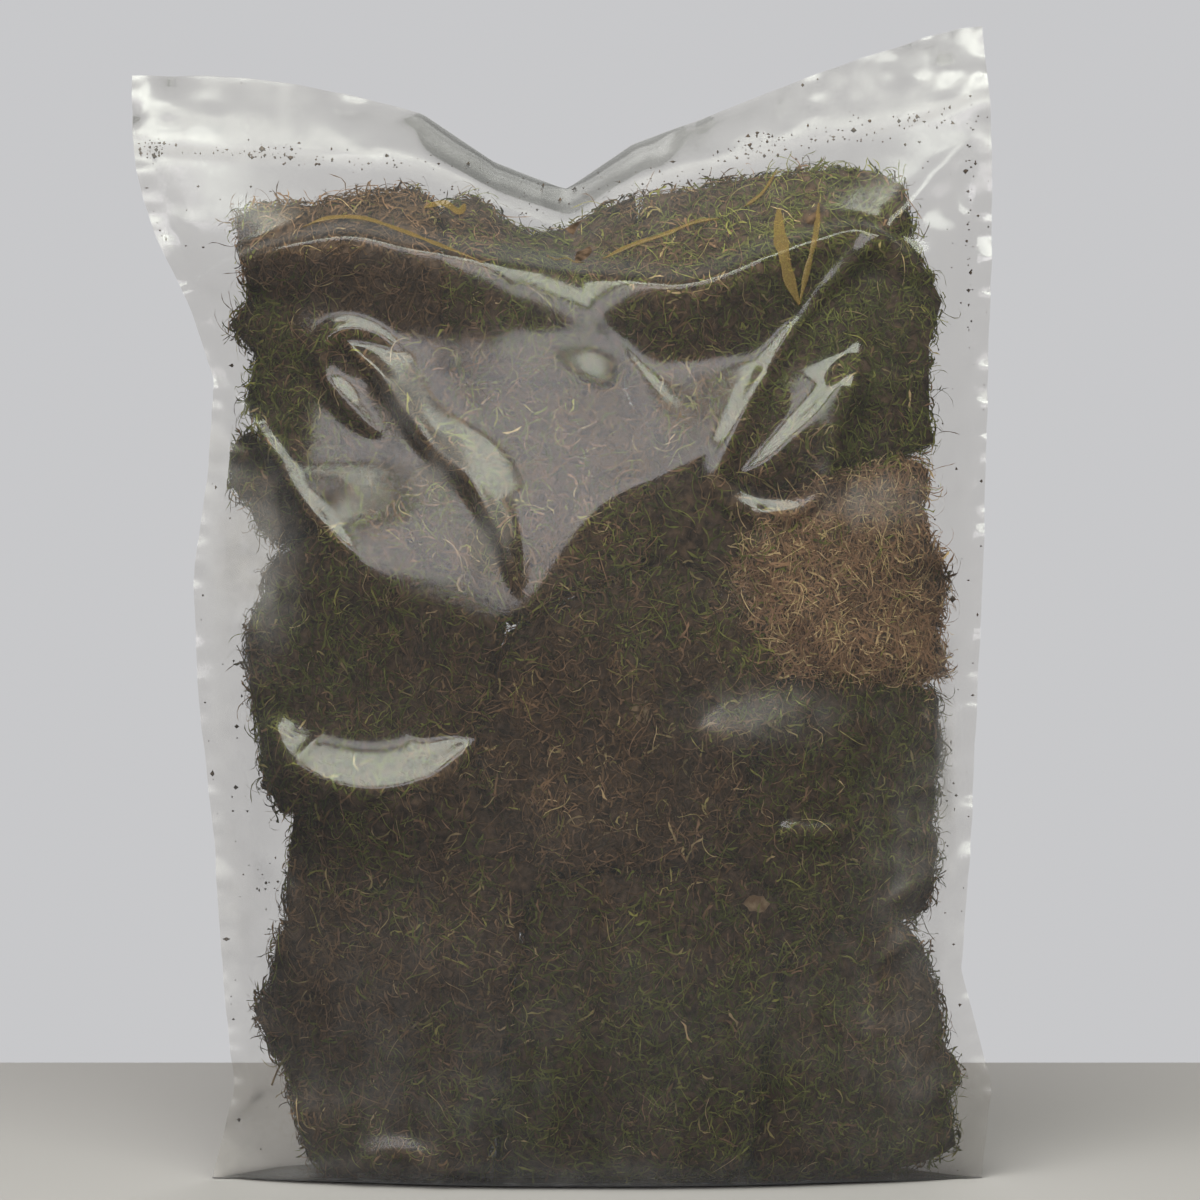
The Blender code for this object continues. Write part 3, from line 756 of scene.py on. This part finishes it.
def moss_pad(node, shape, neighbours, materials):
    """One pad: a dark lumpy core and its shoots, most of them where the film shows them."""
    green, lightness, count = PADS[node]
    rng = np.random.default_rng(sum(map(ord, node)))
    is_tan = node == "moss_clump_tan"
    core = pad_core(node, shape, neighbours, materials["tan_soil" if is_tan else "soil"])
    points, _ = mesh_arrays(core.data)
    triangles = triangles_of(core.data)
    is_back = "_back_" in node

    def weigh(centre):
        front = shape.lookup(shape.front, centre[:, 0], centre[:, 2])
        back = shape.lookup(shape.back, centre[:, 0], centre[:, 2])
        near_front, near_back = centre[:, 1] - front, back - centre[:, 1]
        shown = near_back if is_back else near_front
        other = near_front if is_back else near_back
        most = np.exp(-np.maximum(shown - 4 * MM, 0) / (6 * MM))
        some = np.exp(-np.maximum(other - 4 * MM, 0) / (5 * MM))
        return 0.02 + most + 0.35 * some

    roots, normals = surface_samples(points, triangles, count, rng, weigh)
    kind = rng.random(count)
    is_green = kind < greenness(green, roots)
    tone = np.where(is_green, rng.uniform(0.58, 0.86, count), rng.uniform(0.12, 0.48, count))
    tone = np.where(rng.random(count) < 0.05, rng.uniform(0.88, 1.0, count), tone)
    if is_tan:
        tone = np.where(kind < 0.12, tone, rng.uniform(0.38, 0.46, count))
        tone = np.where(rng.random(count) < 0.2, rng.uniform(0.96, 1.0, count), tone)
    light = lightness * np.clip(rng.lognormal(0, 0.5, count), 0.2, 2.4)
    light = light * (1 + 0.35 * noise(roots, 18 * MM, 9) + 0.45 * noise(roots, 6 * MM, 10))
    thin = rng.random(count) < (0.45 if is_tan else 0.28)
    length = np.where(thin, rng.uniform(*THIN_LENGTH, count), rng.uniform(*LEAFY_LENGTH, count)) * MM
    width = np.where(thin, rng.uniform(*THIN_WIDTH, count), rng.uniform(*LEAFY_WIDTH, count)) * MM
    lift = rng.uniform(0.05, 1.0, count)
    curl = rng.normal(0, 1.5, count)
    light = np.where(thin, light * 1.5, light)
    roots = roots + normals * (rng.uniform(-1.2, 1.6, count) * MM)[:, None]
    points, faces, uv, start = [], [], [], 0
    for chosen, sections in ((~thin, LEAFY_SECTIONS), (thin, THIN_SECTIONS)):
        made_points, made_faces, made_uv = ribbons(
            shape, *(row[chosen] for row in (roots, normals, tone, light)), rng,
            *(row[chosen] for row in (length, width, lift, curl)), sections)
        points.append(made_points)
        faces.append(made_faces + start)
        uv.append(made_uv)
        start += len(made_points)
    shoots = make_mesh(node.replace("moss_", "shoots_"), *map(np.concatenate, (points, faces)),
                       materials["shoots"], np.concatenate(uv))
    for piece in (core, shoots):
        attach(piece, BODY)
    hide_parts(node)


def triangles_of(mesh):
    mesh.calc_loop_triangles()
    triangles = np.zeros(len(mesh.loop_triangles) * 3, np.int32)
    mesh.loop_triangles.foreach_get("vertices", triangles)
    return triangles.reshape(-1, 3)


def tree_of_others(node):
    """A search tree of every other pad's CAD surface."""
    points, triangles = [], []
    for other in PADS:
        if other == node:
            continue
        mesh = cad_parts[other].data
        start = len(points)
        points += [v.co for v in mesh.vertices]
        triangles += [[start + v for v in p.vertices] for p in mesh.polygons]
    return BVHTree.FromPolygons(points, triangles)


# ---------------------------------------------------------------------------------- pleats and soil

# Narrow folded-over pleats of film under the seal, whose amber look is a painted glint: their points, and how
# wide they are.
PLEATS = (
    (((-83, 310), (-75, 313), (-64, 313), (-52, 309), (-38, 303), (-24, 297)), 1.2),
    (((-44, 317), (-38, 319), (-33, 316), (-31, 319)), 2.2),
    (((14, 300), (22, 304), (34, 308), (44, 312), (52, 313)), 1.2),
    (((60, 317), (66, 322), (71, 330)), 1.0),
    (((71, 316), (71, 307), (72, 299), (74, 291), (77, 284)), 3.8),
    (((84, 318), (83, 310), (81, 301), (79, 293), (77, 284)), 1.6),
    (((-4, 301), (-1, 299.5), (2, 300.5), (5, 299), (8, 299)), 0.5),
)
# Clusters of soil grains caught in the film: middle, spread, and how many.
GRAINS = (
    ((-134, 337), (3, 2), 46), ((-93, 336), (5, 2), 30), ((-112, 336), (16, 1.2), 30),
    ((-60, 333), (20, 1.4), 34), ((-20, 323), (14, 1.4), 20), ((25, 327), (16, 1.6), 26),
    ((66, 337), (10, 2), 46), ((88, 341), (14, 1.8), 60), ((118, 347), (12, 1.8), 40),
    ((134, 330), (1.2, 18), 34), ((134, 290), (1.4, 14), 14), ((-60, 318), (50, 9), 60),
    ((60, 326), (50, 6), 60), ((-104, 160), (7, 60), 40), ((126, 150), (5, 90), 50),
    ((0, 200), (80, 90), 90), ((-95, 94), (4, 6), 26),
)
# A grain is an uneven octahedron, flattened against the film. Its radius is log-normal, in millimetres.
GRAIN_CORNERS = ((1, 0, 0), (-1, 0, 0), (0, 1, 0), (0, -1, 0), (0, 0, 1), (0, 0, -1))
GRAIN_FACES = ((0, 2, 4), (2, 1, 4), (1, 3, 4), (3, 0, 4), (2, 0, 5), (1, 2, 5), (3, 1, 5), (0, 3, 5))
GRAIN_FLATNESS = (1, 0.35, 1)
GRAIN_LOG_MEAN, GRAIN_LOG_SPREAD, GRAIN_LEAST, GRAIN_MOST = -1.15, 0.45, 0.14, 0.8


def pleats(shape, material):
    """Each pleat is a low folded ridge that lies on the front film and tapers at both ends."""
    points, faces = [], []
    for places, width in PLEATS:
        line = curve_through(np.array(places) * MM, 10 * len(places))
        along = unit(np.gradient(line, axis=0))
        across = np.stack([-along[:, 1], along[:, 0]], axis=1)
        t = np.linspace(0, 1, len(line))
        half = width / 2 * MM * np.clip(np.minimum(t, 1 - t) / 0.2, 0.12, 1) ** 0.5
        half *= 1 + 0.35 * noise(np.stack([line[:, 0], line[:, 1], 0 * t], axis=1), 4 * MM, 91)
        start = len(points)
        for shift, rise in ((-1, 0.15), (0, 0.75), (1, 0.15)):
            edge = line + across * (shift * half)[:, None]
            y = shape.lookup(shape.front, edge[:, 0], edge[:, 1]) - rise * MM
            points += list(np.stack([edge[:, 0], y, edge[:, 1]], axis=1))
        n = len(line)
        for strip in range(2):
            for k in range(n - 1):
                a = start + strip * n + k
                faces.append((a, a + n, a + n + 1, a + 1))
    ride_loose(make_mesh("painted_glint_pleats", points, faces, material))


def soil_grains(shape, material):
    """Grains of soil caught between the two webs of film and along the seal."""
    rng = np.random.default_rng(19)
    places = np.concatenate([rng.normal(middle, spread, (count, 2)) * MM for middle, spread, count in GRAINS])
    x = np.clip(places[:, 0], shape.left(places[:, 1]) + 2 * MM, shape.right(places[:, 1]) - 1.2 * MM)
    z = np.clip(places[:, 1], 3 * MM, shape.top(x) - 2 * MM)
    front, back = shape.lookup(shape.front, x, z), shape.lookup(shape.back, x, z)
    depth = np.minimum(front + 0.5 * MM, (front + back) / 2)
    radius = np.clip(rng.lognormal(GRAIN_LOG_MEAN, GRAIN_LOG_SPREAD, len(x)), GRAIN_LEAST, GRAIN_MOST) * MM
    corners = np.array(GRAIN_CORNERS, float)
    jitter = 1 + 0.45 * rng.normal(size=(len(x), len(corners), 1))
    offsets = corners[None] * jitter * radius[:, None, None] * np.array(GRAIN_FLATNESS)
    points = (np.stack([x, depth, z], axis=1)[:, None] + offsets).reshape(-1, 3)
    faces = (np.arange(len(x)) * len(corners))[:, None, None] + np.array(GRAIN_FACES)[None]
    ride_loose(make_mesh("soil_grains", points, faces.reshape(-1, 3), material, smooth=False))


def ride_loose(piece):
    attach(piece, BODY)


# ---------------------------------------------------------------------------------- stage


def make_stage():
    """A pale floor. The backdrop behind it is the world itself, so that nothing hides the bag from behind."""
    material, _, _, shader = new_material("floor_paint")
    shader.inputs["Base Color"].default_value = (*FLOOR_COLOUR, 1)
    shader.inputs["Roughness"].default_value = 0.8
    near, far, half = FLOOR_NEAR, FLOOR_FAR, FLOOR_HALF_WIDTH
    corners = [(-half, near, 0), (half, near, 0), (half, far, 0), (-half, far, 0)]
    floor = make_mesh("floor", corners, [(0, 1, 2, 3)], material, smooth=False)
    floor.visible_glossy = False


def area_light(name, place, target, size, power, colour, mirrored):
    """A soft rectangular light. One that isn't mirrored lights the object but doesn't show in its gloss."""
    light = bpy.data.lights.new(name, "AREA")
    light.shape = "RECTANGLE"
    light.size, light.size_y = size
    light.energy = power
    light.color = colour
    made = bpy.data.objects.new(name, light)
    made.location = place
    made.rotation_euler = (Vector(target) - Vector(place)).to_track_quat("-Z", "Y").to_euler()
    made.visible_glossy = mirrored
    bpy.context.scene.collection.objects.link(made)


def make_world():
    """A dim, even light from all round, and a pale backdrop that only the camera sees."""
    world = bpy.data.worlds.new("studio")
    world.use_nodes = True
    nodes, links = world.node_tree.nodes, world.node_tree.links
    ambient = nodes["Background"]
    ambient.inputs["Color"].default_value = (*AMBIENT_COLOUR, 1)
    ambient.inputs["Strength"].default_value = AMBIENT_STRENGTH
    backdrop = nodes.new("ShaderNodeBackground")
    backdrop.inputs["Color"].default_value = (*BACKDROP_COLOUR, 1)
    path, mix = nodes.new("ShaderNodeLightPath"), nodes.new("ShaderNodeMixShader")
    links.new(path.outputs["Is Camera Ray"], mix.inputs["Fac"])
    links.new(ambient.outputs["Background"], mix.inputs[1])
    links.new(backdrop.outputs["Background"], mix.inputs[2])
    links.new(mix.outputs["Shader"], nodes["World Output"].inputs["Surface"])
    bpy.context.scene.world = world


def make_camera():
    data = bpy.data.cameras.new("camera")
    data.sensor_width = SENSOR
    data.lens = SENSOR * VIEW_DISTANCE / VIEW_WIDTH
    camera = bpy.data.objects.new("camera", data)
    camera.location = (VIEW_X, -VIEW_DISTANCE, VIEW_HEIGHT)
    camera.rotation_euler = (math.radians(90), 0, 0)
    bpy.context.scene.collection.objects.link(camera)
    bpy.context.scene.camera = camera


# ---------------------------------------------------------------------------------- the object


def build():
    bpy.context.scene.view_settings.view_transform = "Standard"
    make_camera()
    for light in LIGHTS:
        area_light(*light)
    make_world()
    make_stage()
    materials = {
        "film": film_material(),
        "shoots": shoot_material(),
        "soil": ground_material("moss_core_soil", (0.030, 0.020, 0.013), (0.125, 0.080, 0.050), 420),
        "tan_soil": ground_material("tan_core", (0.060, 0.042, 0.028), (0.20, 0.135, 0.09), 420),
        "pleat": pleat_material(),
        "grains": ground_material("soil_grain", (0.045, 0.032, 0.022), (0.15, 0.10, 0.065), 500),
        "litter": ground_material("dry_litter", (0.16, 0.10, 0.055), (0.34, 0.25, 0.15), 400),
    }
    shape = BagShape()
    shape.front = shape.front - creases(shape.x, shape.z, CREASES) - fine_wrinkles(shape, 31)
    shape.back = shape.back + fine_wrinkles(shape, 47)
    together = weld_crimps(shape) + flap_waves(shape)
    shape.front = shape.front + together
    shape.back = np.maximum(shape.back + together, shape.front + LEAST_FILM_GAP)
    film_web("front_film", "bag_front_film", shape, shape.front, -1, 1, materials["film"])
    film_web("back_film", "bag_back_film", shape, shape.back, 1, BACK_STEP, materials["film"])
    pleats(shape, materials["pleat"])
    soil_grains(shape, materials["grains"])
    for node in PADS:
        moss_pad(node, shape, tree_of_others(node), materials)
    for node in ("straw_stem", "grass_blade", "twig", "leaf_flake", "bark_chip"):
        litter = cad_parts[node]
        litter.data.materials.clear()
        litter.data.materials.append(materials["litter"])


build()
